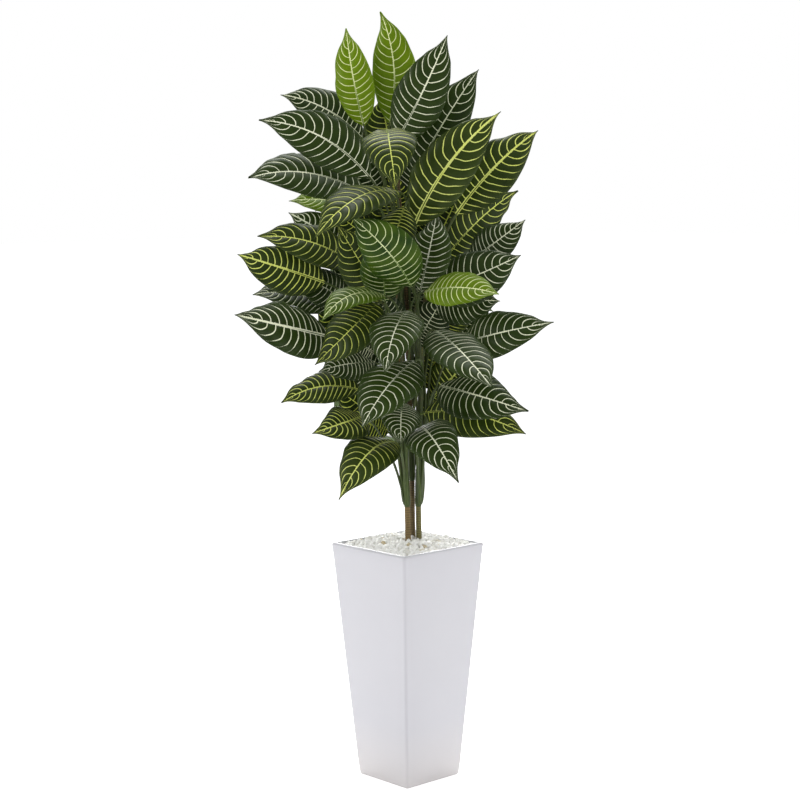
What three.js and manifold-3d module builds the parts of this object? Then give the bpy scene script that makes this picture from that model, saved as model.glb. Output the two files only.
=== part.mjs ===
// A potted zebra plant: a tall square planter, a bed of pebbles, three canes and a crown of leaves.
// Millimetres, +Z up. The origin is the centre of the planter's underside, and the planter's
// faces are parallel to X and Y. The plant has a front of its own, turned from the planter's faces.
import * as THREE from "three";
import { mergeVertices } from "three/addons/utils/BufferGeometryUtils.js";
import Module from "manifold-3d";

const wasm = await Module();
wasm.setup();

// Planter
const planterHeight = 425;
const rimSide = 190;
const footSide = 125;
const wallThickness = 6;
const floorThickness = 12;
const edgeRadius = 9; // the four upright edges
const footRadius = 4; // the edge round the underside
const rimRadius = wallThickness / 2;
const cornerSteps = 4;

// Filling
const clearance = 0.4; // between pieces that touch
const beddingTop = 402; // top of the potting base, where the pebbles start
const pebbleEdgeTop = 415; // top of the pebble bed at the wall
const pebbleMound = 10; // how much higher the bed is round the canes
const pebbleRipple = 2.5;
const pebbleCells = 10;
const caneDepth = 110; // how deep the canes go into the potting base

// Canes and leaf stalks
const caneRadius = 4.9;
const caneSides = 7;
const caneSteps = 10;
const collarRadius = 7;
const collarLength = 60;
const stalkRadius = 2;
const stalkSides = 5;
const stalkSteps = 5;
const stalkRise = 190; // a leaf stalk leaves its cane this far below its blade

// Blades
const bladeThickness = 1.4;
const bladeNeck = 2.2; // half width where the stalk ends
const bladeSteps = 7;
const bladeWidest = 0.42; // where the blade is widest, from its base
const bladeTaper = 1.05;
const tipPinch = 0.45; // how much the drip tip is drawn in
const tipStart = 0.8;
const foldRise = 0.22; // the blade's halves rise from the midrib
const marginDroop = 0.3; // and their margins bend down again
const acrossBlade = [-1, -0.5, 0, 0.5, 1];

const frontTurn = THREE.MathUtils.degToRad(47.6);

const finishes = {
  planter: new THREE.MeshStandardMaterial({ color: 0xe4e3e8, roughness: 0.3, metalness: 0 }),
  bedding: new THREE.MeshStandardMaterial({ color: 0x4a3a2c, roughness: 0.95, metalness: 0 }),
  pebbles: new THREE.MeshStandardMaterial({ color: 0xdedbd4, roughness: 0.7, metalness: 0 }),
  cane: new THREE.MeshStandardMaterial({ color: 0x5f5a2c, roughness: 0.75, metalness: 0 }),
  white: new THREE.MeshStandardMaterial({ color: 0x33421f, roughness: 0.45, metalness: 0 }),
  yellow: new THREE.MeshStandardMaterial({ color: 0x4a5c1e, roughness: 0.45, metalness: 0 }),
  bright: new THREE.MeshStandardMaterial({ color: 0x6a8f10, roughness: 0.45, metalness: 0 }),
};

// Each cane is a list of points from inside the potting base to its top, in the plant's own frame:
// x to the right, y to the back, z up. collar is the height where its green sheath starts.
const canes = {
  left: {
    collar: 497,
    path: [[3, -12, beddingTop - caneDepth], [1.5, -12, 429], [0, -12, 497], [-4, -14, 600],
      [-10, -16, 800], [-20, -18, 985]],
  },
  center: {
    collar: 540,
    path: [[11, 14, beddingTop - caneDepth], [10, 14, 424], [9, 14, 540], [6, 14, 700],
      [0, 14, 900], [-12, 14, 1080]],
  },
  right: {
    collar: 496,
    path: [[21, -2, beddingTop - caneDepth], [20.6, -2, 427], [20, -2, 496], [22, -4, 620],
      [30, -6, 800], [42, -6, 950]],
  },
};

// A leaf: where its blade starts, where its tip is, its full width, the compass and the height that
// its upper face looks to (degrees, 0 is the plant's front), how far its midrib bows out of its
// plane and sideways, and its colouring.
function leaf(base, tip, width, face, arch, sweep, tone) {
  const [from, to] = [base, tip].map((point) => new THREE.Vector3(...point));
  return { base: from, tip: to, width, face, arch, sweep, tone };
}

const leaves = {
  left: [
    leaf([-10, -70, 1045], [-150, -195, 970], 95, [-15, 50], 32, 0, "yellow"),
    leaf([-65, -5, 1040], [-265, -90, 1070], 95, [0, 35], 2, 28, "white"),
    leaf([-60, 45, 1010], [-205, 50, 1030], 62, [0, 40], 10, 6, "bright"),
    leaf([-95, 25, 940], [-205, 40, 1010], 66, [10, 20], 8, 0, "white"),
    leaf([-85, -10, 915], [-255, -35, 970], 84, [0, 40], 22, 6, "yellow"),
    leaf([-140, -35, 890], [-290, -40, 940], 88, [0, 22], 10, -2, "yellow"),
    leaf([-120, -25, 840], [-265, -45, 870], 80, [0, 50], 2, 20, "white"),
    leaf([-125, -55, 795], [-285, -180, 845], 105, [-10, 30], 12, -8, "white"),
    leaf([-35, -110, 870], [-140, -190, 835], 70, [-10, 60], 22, 6, "bright"),
    leaf([-50, -80, 855], [-155, -130, 755], 88, [-15, 28], 26, -14, "yellow"),
    leaf([-55, -45, 750], [-150, -90, 740], 68, [0, 40], 6, 2, "white"),
    leaf([-80, -70, 705], [-215, -80, 685], 76, [0, 50], 10, 14, "yellow"),
    leaf([-75, -75, 660], [-160, -145, 640], 78, [0, 40], 18, -12, "yellow"),
    leaf([15, -120, 760], [-75, -230, 660], 105, [-20, 33], 16, 0, "white"),
    leaf([5, -120, 845], [-35, -240, 750], 88, [-10, 40], 24, 2, "white"),
    leaf([-20, -80, 615], [-115, -200, 535], 88, [-8, 35], 40, 2, "yellow"),
    leaf([-5, -95, 685], [-10, -175, 625], 72, [10, 45], 14, 4, "white"),
    leaf([-35, -90, 860], [-40, -120, 980], 82, [-10, 15], 10, 2, "bright"),
    leaf([-35, -60, 855], [-115, -80, 990], 82, [-15, 25], 10, 0, "yellow"),
    leaf([-95, -10, 850], [-200, -15, 905], 74, [0, 35], 10, 0, "white"),
    leaf([-35, -5, 625], [-110, -15, 650], 74, [0, 30], 8, 0, "yellow"),
    leaf([0, -80, 1020], [-30, -110, 925], 66, [-10, 15], 6, 0, "yellow"),
  ],
  center: [
    leaf([-70, 20, 1160], [-100, 45, 1330], 68, [-10, 10], 8, -2, "bright"),
    leaf([-25, 45, 1165], [-40, 70, 1360], 78, [-5, 10], 4, 16, "bright"),
    leaf([-15, -10, 1130], [75, -45, 1310], 88, [-5, 5], 16, 6, "white"),
    leaf([15, 5, 1070], [130, 5, 1255], 88, [-5, 15], 10, -2, "white"),
    leaf([-30, -75, 1150], [-15, -195, 1050], 92, [-5, 45], 32, 0, "yellow"),
    leaf([-75, 40, 1140], [-215, 20, 1215], 80, [0, 30], 6, 14, "white"),
    leaf([-60, -35, 1070], [-250, -20, 1170], 90, [-10, 20], 18, 20, "white"),
    leaf([-30, 75, 1120], [-110, 215, 1150], 88, [180, 50], 18, 0, "white"),
    leaf([40, 75, 1090], [130, 200, 1130], 88, [170, 50], 18, 0, "yellow"),
    leaf([-45, 80, 1010], [-165, 200, 1010], 90, [190, 50], 22, 0, "yellow"),
    leaf([50, 80, 960], [165, 205, 970], 90, [170, 50], 22, 0, "white"),
    leaf([-50, 80, 880], [-170, 205, 860], 92, [190, 50], 24, 0, "white"),
    leaf([0, 90, 790], [-20, 245, 750], 94, [180, 50], 24, 0, "white"),
    leaf([55, 80, 840], [165, 215, 820], 92, [170, 50], 24, 0, "yellow"),
    leaf([-40, 70, 690], [-135, 185, 640], 90, [190, 50], 24, 0, "yellow"),
    leaf([45, 70, 680], [140, 185, 630], 90, [170, 50], 24, 0, "white"),
  ],
  right: [
    leaf([15, -50, 985], [165, -60, 1180], 98, [0, 15], 20, -14, "yellow"),
    leaf([90, 0, 1005], [235, 30, 1150], 92, [0, 20], 18, -6, "yellow"),
    leaf([65, 20, 920], [200, 55, 1045], 80, [30, 0], 8, -14, "yellow"),
    leaf([20, -90, 640], [85, -215, 565], 88, [0, 25], 44, 0, "white"),
    leaf([60, -60, 710], [205, -150, 675], 98, [5, 30], 28, 12, "white"),
    leaf([30, -30, 660], [205, -100, 630], 86, [0, 22], 26, -8, "yellow"),
    leaf([50, -110, 810], [140, -245, 725], 105, [20, 40], 16, 6, "white"),
    leaf([90, -50, 780], [250, -135, 825], 84, [5, 25], 34, 10, "white"),
    leaf([30, -100, 875], [155, -180, 875], 74, [5, 38], 10, -4, "bright"),
    leaf([40, -50, 870], [200, -45, 935], 94, [7, 20], 14, 6, "white"),
    leaf([110, 5, 920], [210, -5, 995], 74, [-10, 28], 10, 5, "white"),
    leaf([25, -70, 875], [55, -30, 1005], 78, [-15, 25], 22, 8, "white"),
    leaf([10, -125, 885], [-90, -160, 1005], 93, [-25, 10], 15, 14, "bright"),
    leaf([45, 0, 680], [130, 0, 770], 78, [5, 20], 4, 0, "yellow"),
    leaf([45, -20, 850], [165, -30, 855], 84, [0, 20], 10, 0, "white"),
    leaf([60, -10, 795], [105, 5, 875], 72, [0, 15], 8, 0, "yellow"),
  ],
};

// A closed geometry as a solid that can be joined and cut. Its faces are turned out if need be.
function solidOf(geometry) {
  const bare = geometry.clone();
  bare.deleteAttribute("normal");
  bare.deleteAttribute("uv");
  const merged = mergeVertices(bare, 1e-4);
  const vertProperties = new Float32Array(merged.attributes.position.array);
  const triVerts = new Uint32Array(merged.index.array);
  const solid = new wasm.Manifold(new wasm.Mesh({ numProp: 3, vertProperties, triVerts }));
  if (solid.volume() >= 0) return solid;
  return new wasm.Manifold(
    new wasm.Mesh({ numProp: 3, vertProperties, triVerts: triVerts.slice().reverse() }),
  );
}

function geometryOf(solid) {
  const mesh = solid.getMesh();
  const geometry = new THREE.BufferGeometry();
  geometry.setAttribute("position", new THREE.Float32BufferAttribute(mesh.vertProperties, 3));
  geometry.setIndex(new THREE.BufferAttribute(mesh.triVerts, 1));
  geometry.computeVertexNormals();
  return geometry;
}

// Closed skin over a stack of rings with the same number of points, with flat ends.
// A ring may be a single point, which closes that end as a tip.
function skin(rings) {
  const positions = [];
  const starts = [];
  for (const ring of rings) {
    starts.push(positions.length / 3);
    for (const point of ring) positions.push(point.x, point.y, point.z);
  }
  const index = [];
  for (let i = 0; i + 1 < rings.length; i++) {
    const count = rings[i].length;
    for (let k = 0; k < count; k++) {
      const a = starts[i] + k;
      const b = starts[i] + ((k + 1) % count);
      if (rings[i + 1].length === 1) {
        index.push(a, b, starts[i + 1]);
      } else {
        const c = starts[i + 1] + k;
        const d = starts[i + 1] + ((k + 1) % count);
        index.push(a, b, d, a, d, c);
      }
    }
  }
  for (let k = 1; k + 1 < rings[0].length; k++) index.push(starts[0], starts[0] + k + 1, starts[0] + k);
  const last = starts[rings.length - 1];
  for (let k = 1; k + 1 < rings[rings.length - 1].length; k++) index.push(last, last + k, last + k + 1);
  const geometry = new THREE.BufferGeometry();
  geometry.setAttribute("position", new THREE.Float32BufferAttribute(positions, 3));
  geometry.setIndex(index);
  return geometry;
}

// Square ring with round corners at height z, counted the same way round at every size.
function squareRing(side, radius, z) {
  const ring = [];
  const middle = side / 2 - radius;
  for (let corner = 0; corner < 4; corner++) {
    const turn = (corner * Math.PI) / 2;
    const centre = new THREE.Vector2(middle, middle).rotateAround(new THREE.Vector2(), turn);
    for (let step = 0; step <= cornerSteps; step++) {
      const angle = turn + (step / cornerSteps) * (Math.PI / 2);
      ring.push(new THREE.Vector3(centre.x + radius * Math.cos(angle), centre.y + radius * Math.sin(angle), z));
    }
  }
  return ring;
}

// Outer side of the planter at height z
function sideAt(z) {
  return THREE.MathUtils.lerp(footSide, rimSide, z / planterHeight);
}

function planterGeometry() {
  const rings = [];
  const quarter = [0, Math.PI / 6, Math.PI / 3, Math.PI / 2];
  for (const angle of quarter) {
    const inset = footRadius * (1 - Math.sin(angle));
    const z = footRadius * (1 - Math.cos(angle));
    rings.push(squareRing(sideAt(z) - 2 * inset, edgeRadius, z));
  }
  for (const angle of [...quarter, ...quarter.slice(0, 3).reverse().map((a) => Math.PI - a)]) {
    const inset = rimRadius * (1 - Math.cos(angle));
    const z = planterHeight - rimRadius + rimRadius * Math.sin(angle);
    rings.push(squareRing(sideAt(planterHeight) - 2 * inset, edgeRadius - inset / 2, z));
  }
  rings.push(squareRing(sideAt(floorThickness) - 2 * wallThickness, edgeRadius - rimRadius, floorThickness));
  return skin(rings);
}

// Solid that fills the planter from one height to another, clear of its wall
function fillingOf(low, high) {
  const inset = 2 * (wallThickness + clearance);
  return solidOf(
    skin([low, high].map((z) => squareRing(sideAt(z) - inset, edgeRadius - rimRadius, z))),
  );
}

function tubeAlong(curve, radius, sides, steps) {
  const outline = new THREE.Shape();
  for (let k = 0; k < sides; k++) {
    const angle = (k / sides) * 2 * Math.PI;
    const x = radius * Math.cos(angle);
    const y = radius * Math.sin(angle);
    if (k === 0) outline.moveTo(x, y);
    else outline.lineTo(x, y);
  }
  outline.closePath();
  return solidOf(new THREE.ExtrudeGeometry(outline, { steps, extrudePath: curve, curveSegments: 1 }));
}

function caneCurve(cane) {
  return new THREE.CatmullRomCurve3(cane.path.map((point) => new THREE.Vector3(...point)));
}

// The cane's centre at a given height, by halving
function caneAt(curve, z) {
  let low = 0;
  let high = 1;
  for (let i = 0; i < 24; i++) {
    const middle = (low + high) / 2;
    if (curve.getPoint(middle).z < z) low = middle;
    else high = middle;
  }
  return curve.getPoint(low);
}

// The midrib's curve, and the direction that the upper face looks to
function midribOf({ base, tip, face, arch, sweep }) {
  const chord = tip.clone().sub(base).normalize();
  const [compass, height] = face.map(THREE.MathUtils.degToRad);
  const up = new THREE.Vector3(
    Math.sin(compass) * Math.cos(height),
    -Math.cos(compass) * Math.cos(height),
    Math.sin(height),
  );
  up.addScaledVector(chord, -up.dot(chord)).normalize();
  const side = chord.clone().cross(up);
  const bend = base.clone().add(tip).multiplyScalar(0.5);
  bend.addScaledVector(up, 2 * arch).addScaledVector(side, 2 * sweep);
  return { curve: new THREE.QuadraticBezierCurve3(base, bend, tip), up };
}

// Half width along the blade as a part of its widest, 0 at both ends
function outlineAt(t) {
  const rise = (bladeTaper * bladeWidest) / (1 - bladeWidest);
  const widest = bladeWidest ** rise * (1 - bladeWidest) ** bladeTaper;
  const pinch = 1 - tipPinch * THREE.MathUtils.smoothstep(t, tipStart, 1);
  return ((t ** rise * (1 - t) ** bladeTaper) / widest) * pinch;
}

function bladeGeometry(one) {
  const { curve, up } = midribOf(one);
  const rings = [];
  for (let i = 0; i < bladeSteps; i++) {
    const t = i / bladeSteps;
    const along = curve.getTangent(t);
    const above = up.clone().addScaledVector(along, -up.dot(along)).normalize();
    const side = along.clone().cross(above);
    const half = Math.max((one.width / 2) * outlineAt(t), bladeNeck);
    const pointAt = (v, lift) =>
      curve
        .getPoint(t)
        .addScaledVector(side, v * half)
        .addScaledVector(above, half * (foldRise * Math.abs(v) - marginDroop * v * v) + lift);
    const inner = acrossBlade.slice(1, -1);
    const upper = inner.map((v) => pointAt(v, bladeThickness / 2)).reverse();
    const lower = inner.map((v) => pointAt(v, -bladeThickness / 2));
    rings.push([pointAt(-1, 0), ...lower, pointAt(1, 0), ...upper]);
  }
  rings.push([curve.getPoint(1)]);
  return geometryOf(solidOf(skin(rings)));
}

// A cane with its green sheath and the stalks of all its leaves, as one solid
function stemSolid(cane, ownLeaves) {
  const curve = caneCurve(cane);
  let stem = tubeAlong(curve, caneRadius, caneSides, caneSteps);
  const sheath = new THREE.LineCurve3(
    caneAt(curve, cane.collar),
    caneAt(curve, cane.collar + collarLength),
  );
  stem = stem.add(tubeAlong(sheath, collarRadius, caneSides, 1));
  const top = cane.path[cane.path.length - 1][2];
  for (const one of ownLeaves) {
    const { curve: midrib } = midribOf(one);
    const out = midrib.getTangent(0);
    const startZ = Math.min(Math.max(one.base.z - stalkRise, cane.collar + 4), top - 4);
    const start = caneAt(curve, startZ);
    const end = one.base.clone().addScaledVector(out, -clearance);
    const span = end.distanceTo(start);
    const rise = start.clone().add(new THREE.Vector3(0, 0, span * 0.4));
    const meet = end.clone().addScaledVector(out, -span * 0.3);
    const stalk = new THREE.CubicBezierCurve3(start, rise, meet, end);
    stem = stem.add(tubeAlong(stalk, stalkRadius, stalkSides, stalkSteps));
  }
  return stem;
}

function pebbleBedSolid(stems) {
  const side = sideAt(planterHeight);
  const depth = planterHeight + pebbleMound - beddingTop;
  const block = new THREE.BoxGeometry(side, side, depth, pebbleCells, pebbleCells, 1);
  block.translate(0, 0, beddingTop + clearance + depth / 2);
  const position = block.attributes.position;
  for (let i = 0; i < position.count; i++) {
    const x = position.getX(i);
    const y = position.getY(i);
    if (position.getZ(i) < beddingTop + depth / 2) continue;
    const away = Math.min(Math.hypot(x, y) / (side / 2), 1);
    const ripple = pebbleRipple * Math.sin(x * 0.21 + 1.3) * Math.cos(y * 0.24 - 0.4);
    position.setZ(i, pebbleEdgeTop + pebbleMound * (1 - away * away) + ripple * (1 - away * 0.5));
  }
  let bed = solidOf(block).intersect(fillingOf(beddingTop + clearance, planterHeight + pebbleMound));
  for (const stem of stems) bed = bed.subtract(stem);
  return bed;
}

// The canes' shapes with room round them, in the part's own frame
function caneSockets() {
  return Object.values(canes).map((cane) =>
    solidOf(
      geometryOf(tubeAlong(caneCurve(cane), caneRadius + 2 * clearance, caneSides, caneSteps)).rotateZ(frontTurn),
    ),
  );
}

function named(name, geometry, material) {
  const mesh = new THREE.Mesh(geometry, material);
  mesh.name = name;
  return mesh;
}

const part = new THREE.Group();
part.add(named("planter", planterGeometry(), finishes.planter));

const sockets = caneSockets();
let bedding = fillingOf(floorThickness + clearance, beddingTop);
for (const socket of sockets) bedding = bedding.subtract(socket);
part.add(named("potting_base", geometryOf(bedding), finishes.bedding));
part.add(named("pebble_bed", geometryOf(pebbleBedSolid(sockets)), finishes.pebbles));

const plant = new THREE.Group();
plant.rotation.z = frontTurn;
part.add(plant);
for (const [side, cane] of Object.entries(canes)) {
  plant.add(named(`stem_${side}`, geometryOf(stemSolid(cane, leaves[side])), finishes.cane));
  leaves[side].forEach((one, i) => {
    const name = `${side}_leaf_${String(i + 1).padStart(2, "0")}`;
    plant.add(named(name, bladeGeometry(one), finishes[one.tone]));
  });
}

export default part;
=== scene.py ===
import math
import random
import bpy
import bmesh
import numpy as np
from mathutils import Matrix, Vector


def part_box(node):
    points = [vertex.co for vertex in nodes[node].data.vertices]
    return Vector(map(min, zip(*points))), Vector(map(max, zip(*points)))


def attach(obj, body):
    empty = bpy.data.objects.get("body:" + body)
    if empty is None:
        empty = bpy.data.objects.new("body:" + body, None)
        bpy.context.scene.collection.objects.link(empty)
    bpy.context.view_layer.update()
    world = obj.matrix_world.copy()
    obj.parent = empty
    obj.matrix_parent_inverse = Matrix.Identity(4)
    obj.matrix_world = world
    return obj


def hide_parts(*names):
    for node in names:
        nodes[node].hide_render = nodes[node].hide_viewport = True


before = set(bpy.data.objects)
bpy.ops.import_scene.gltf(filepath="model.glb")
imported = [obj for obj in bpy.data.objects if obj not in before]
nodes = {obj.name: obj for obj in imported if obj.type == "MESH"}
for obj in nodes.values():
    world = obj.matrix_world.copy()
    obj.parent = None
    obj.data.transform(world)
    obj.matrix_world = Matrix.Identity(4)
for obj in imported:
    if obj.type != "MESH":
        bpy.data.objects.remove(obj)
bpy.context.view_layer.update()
print("frame loaded:", len(nodes), "nodes")

mm = 0.001
frontTurn = math.radians(47.6)  # the planter shows a corner, so the plant's own front is turned from X
plantTurn = Matrix.Rotation(frontTurn, 3, "Z")


def addNode(tree, kind, links=(), **settings):
    starts = ("ShaderNode", "GeometryNode", "FunctionNode", "")
    made = tree.nodes.new(next(s + kind for s in starts if hasattr(bpy.types, s + kind)))
    for name, value in settings.items():
        setattr(made, name, value)
    for key, value in links.items() if isinstance(links, dict) else enumerate(links):
        if isinstance(value, bpy.types.NodeSocket):
            tree.links.new(value, made.inputs[key])
        elif value is not None:
            made.inputs[key].default_value = value
    return made.outputs


def hexColour(code):
    parts = [int(code[i:i + 2], 16) / 255 for i in (1, 3, 5)]
    return [p / 12.92 if p <= 0.04045 else ((p + 0.055) / 1.055) ** 2.4 for p in parts] + [1.0]


def startFinish(title):  # one material for one real finish
    finish = bpy.data.materials.new(title)
    finish.use_nodes = True
    finish.node_tree.nodes.clear()
    return finish, finish.node_tree


def closeFinish(tree, shader):
    addNode(tree, "OutputMaterial", {"Surface": shader})


def startTree(title, sockets):
    tree = bpy.data.node_groups.new(title, "GeometryNodeTree")
    tree.interface.new_socket("Geometry", in_out="INPUT", socket_type="NodeSocketGeometry")
    tree.interface.new_socket("Geometry", in_out="OUTPUT", socket_type="NodeSocketGeometry")
    for label, kind in sockets.items():
        tree.interface.new_socket(label, in_out="INPUT", socket_type="NodeSocket" + kind)
    return tree, addNode(tree, "NodeGroupInput")


def closeTree(tree, shape, finish):
    real = addNode(tree, "RealizeInstances", [shape])[0]
    dressed = addNode(tree, "SetMaterial", {"Geometry": real, "Material": finish})[0]
    addNode(tree, "NodeGroupOutput", [dressed])


def newPiece(name, points, faces=(), edges=(), values=None):
    mesh = bpy.data.meshes.new(name)
    mesh.from_pydata([tuple(p) for p in points], list(edges), list(faces))
    for label, column in (values or {}).items():
        column = np.asarray(column, dtype=np.float32)
        kind = "FLOAT_VECTOR" if column.ndim == 2 else "FLOAT"
        store = mesh.attributes.new(label, kind, "POINT")
        store.data.foreach_set("vector" if column.ndim == 2 else "value", column.ravel())
    piece = bpy.data.objects.new(name, mesh)
    bpy.context.scene.collection.objects.link(piece)
    return piece


def settle(piece):  # what the modifiers make becomes the piece's plain mesh
    bpy.context.view_layer.update()
    shown = piece.evaluated_get(bpy.context.evaluated_depsgraph_get())
    made = bpy.data.meshes.new_from_object(shown)
    piece.modifiers.clear()
    piece.data = made
    return piece


def growPiece(piece, tree, settings):
    grow = piece.modifiers.new(tree.name, "NODES")
    grow.node_group = tree
    for item in tree.interface.items_tree:
        if item.in_out == "INPUT" and item.name in settings:
            grow[item.identifier] = settings[item.name]
    return settle(piece)


def finishPiece(piece, replaced):
    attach(piece, "root")
    if replaced:
        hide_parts(*replaced)
    print(piece.name, "is made:", len(piece.data.polygons), "faces")


def unit(v):
    return v / np.linalg.norm(v)


def smooth(a, b, x):
    x = min(max((x - a) / (b - a), 0), 1)
    return x * x * (3 - 2 * x)


def place(points):  # from the plant's own millimetres to the frame's metres
    return (np.asarray(points, dtype=float) * mm) @ np.array(plantTurn).T


studio = {
    "cameraPlace": (-11.1, -3313.5, 1053.4),
    "pitch": 6.433,
    "roll": -0.484,
    "lens": 85,
    "roomLight": 0.5,
    "floorBounce": 0.2,
    "floorGlow": 0.5,
    "softboxes": {  # where each stands and where it points, in the plant's millimetres, its size and its power
        "keySoftbox": ((-2500, -1000, 1900), (0, 0, 750), (1.6, 2.2), 30),
        "fillSoftbox": ((2600, -900, 1600), (0, 0, 700), (1.6, 2.2), 21),
        "topSoftbox": ((200, 900, 2900), (0, 0, 900), (2.2, 1.6), 52),
        "backSoftbox": ((0, 2300, 1500), (0, 0, 420), (1.4, 0.9), 46),  # reaches in under the leaves
    },
}

camera = bpy.data.objects.new("camera", bpy.data.cameras.new("camera"))
bpy.context.scene.collection.objects.link(camera)
camera.data.lens = studio["lens"]
camera.data.sensor_width = 36
camera.data.clip_end = 50
camera.matrix_world = (
    Matrix.Translation(Vector(place([studio["cameraPlace"]])[0]))
    @ Matrix.Rotation(frontTurn, 4, "Z")
    @ Matrix.Rotation(math.radians(90 - studio["pitch"]), 4, "X")
    @ Matrix.Rotation(math.radians(studio["roll"]), 4, "Z")
)
bpy.context.scene.camera = camera
bpy.context.scene.view_settings.view_transform = "Standard"


def addSoftbox(name, spot, aim, size, power):
    light = bpy.data.objects.new(name, bpy.data.lights.new(name, "AREA"))
    bpy.context.scene.collection.objects.link(light)
    light.data.shape = "RECTANGLE"
    light.data.size, light.data.size_y = size
    light.data.energy = power
    light.visible_camera = False
    start, end = (Vector(p) for p in place([spot, aim]))
    light.location = start
    light.rotation_euler = (end - start).to_track_quat("-Z", "Y").to_euler()


for name, setting in studio["softboxes"].items():
    addSoftbox(name, *setting)

room = bpy.data.worlds.new("pale studio room")
bpy.context.scene.world = room
room.use_nodes = True
room.node_tree.nodes.clear()
roomSeen = addNode(room.node_tree, "Background", {"Color": hexColour("#ffffff"), "Strength": 1.0})[0]
roomLit = addNode(room.node_tree, "Background",
                  {"Color": hexColour("#fbfcff"), "Strength": studio["roomLight"]})[0]
straight = addNode(room.node_tree, "LightPath")["Is Camera Ray"]
roomMix = addNode(room.node_tree, "MixShader", [straight, roomLit, roomSeen])[0]
addNode(room.node_tree, "OutputWorld", {"Surface": roomMix})

floorFinish, tree = startFinish("matt white paper floor")  # disappears into the pale room
place3d = addNode(tree, "TexCoord")["Object"]
grain = addNode(tree, "TexNoise", {"Vector": place3d, "Scale": 6.0, "Detail": 3.0})["Fac"]
tone = addNode(tree, "ValToRGB", [grain])
tone[0].node.color_ramp.elements[0].color = hexColour("#f6f6f6")
tone[0].node.color_ramp.elements[1].color = hexColour("#ffffff")
paper = addNode(tree, "BsdfPrincipled", {
    "Base Color": tone[0], "Roughness": 0.9, "Specular IOR Level": 0.1,
    "Emission Color": hexColour("#ffffff"), "Emission Strength": studio["floorBounce"]})[0]
glow = addNode(tree, "Emission", {"Color": hexColour("#ffffff"), "Strength": studio["floorGlow"]})[0]
seen = addNode(tree, "LightPath")["Is Camera Ray"]  # the glow whitens the paper without lighting the plant
glow = addNode(tree, "MixShader", [seen, None, glow])[0]
closeFinish(tree, addNode(tree, "AddShader", [paper, glow])[0])
floor = newPiece("paperFloor", [(-30, -30, 0), (30, -30, 0), (30, 30, 0), (-30, 30, 0)], [(0, 1, 2, 3)])
floor.data.materials.append(floorFinish)
print("camera, lights and floor are set")


planterLook = {
    "edgeRadius": 0.0055,
    "swell": 0.002,  # the glaze stands a little proud of the plain CAD walls
    "footRadius": 0.006,
    "rimRadius": 0.0045,  # the rest of the wall is rounded off on the inside
    "wall": 0.008,
    "floorThickness": 0.012,
    "cornerSteps": 10,
    "glaze": "#cecdd1",
    "glazeWarm": "#dcd5d0",
    "glazeRoughness": 0.3,
}


def roundedSquare(side, radius, z, steps):
    ring = []
    for corner in range(4):
        turn = corner * math.pi / 2
        middle = side / 2 - radius
        for i in range(steps + 1):
            a = turn + i / steps * math.pi / 2
            cx = middle * (1 if corner in (0, 3) else -1)
            cy = middle * (1 if corner in (0, 1) else -1)
            ring.append((cx + radius * math.cos(a), cy + radius * math.sin(a), z))
    return ring


def makePlanter(look):
    low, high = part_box("planter")
    rimSide, height = high.x - low.x + 2 * look["swell"], high.z
    feet = [v.co for v in nodes["planter"].data.vertices if v.co.z < low.z + look["footRadius"] * 1.5]
    footSide = 2 * max(abs(p.x) for p in feet) + 2 * look["swell"]
    flare = (rimSide - footSide) / 2 / height  # how far each wall leans out for each metre up
    sideAt = lambda z: footSide + 2 * flare * z
    profile = []  # (side, corner radius, z), from under the foot, over the rim and down inside
    foot, rim, wall = look["footRadius"], look["rimRadius"], look["wall"]
    for i in range(7):
        a = i / 6 * math.pi / 2
        pull = foot * (1 - math.sin(a))
        profile.append((sideAt(0) - 2 * pull, max(look["edgeRadius"] - pull, 0.003),
                        foot * (1 - math.cos(a))))
    for i in range(1, 24):
        z = foot + (height - rim - foot) * i / 24
        profile.append((sideAt(z), look["edgeRadius"], z))
    for i in range(9):
        a = i / 8 * math.pi / 2
        pull = rim * (1 - math.cos(a))
        profile.append((sideAt(height) - 2 * pull, look["edgeRadius"] - pull / 2,
                        height - rim * (1 - math.sin(a))))
    inner = look["edgeRadius"] / 2
    lip = wall - rim  # the tighter rounding on the inside of the rim
    for i in range(9):
        a = i / 8 * math.pi / 2
        pull = lip * math.sin(a)
        profile.append((sideAt(height) - 2 * (rim + pull), inner + (lip - pull) / 2,
                        height - lip * (1 - math.cos(a))))
    for z in (height * 0.8, height * 0.5, look["floorThickness"]):
        profile.append((sideAt(z) - 2 * wall, inner, z))
    points, faces, count = [], [], 4 * (look["cornerSteps"] + 1)
    for side, radius, z in profile:
        points += roundedSquare(side, radius, z, look["cornerSteps"])
    for row in range(len(profile) - 1):
        for i in range(count):
            j = (i + 1) % count
            faces.append((row * count + i, row * count + j, (row + 1) * count + j, (row + 1) * count + i))
    faces.append(tuple(reversed(range(count))))
    faces.append(tuple(range((len(profile) - 1) * count, len(profile) * count)))
    piece = newPiece("glazedPlanter", points, faces)
    shape = bmesh.new()
    shape.from_mesh(piece.data)
    bmesh.ops.remove_doubles(shape, verts=shape.verts, dist=1e-5)
    bmesh.ops.recalc_face_normals(shape, faces=shape.faces)
    shape.to_mesh(piece.data)
    shape.free()
    piece.data.shade_smooth()
    return piece


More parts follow.
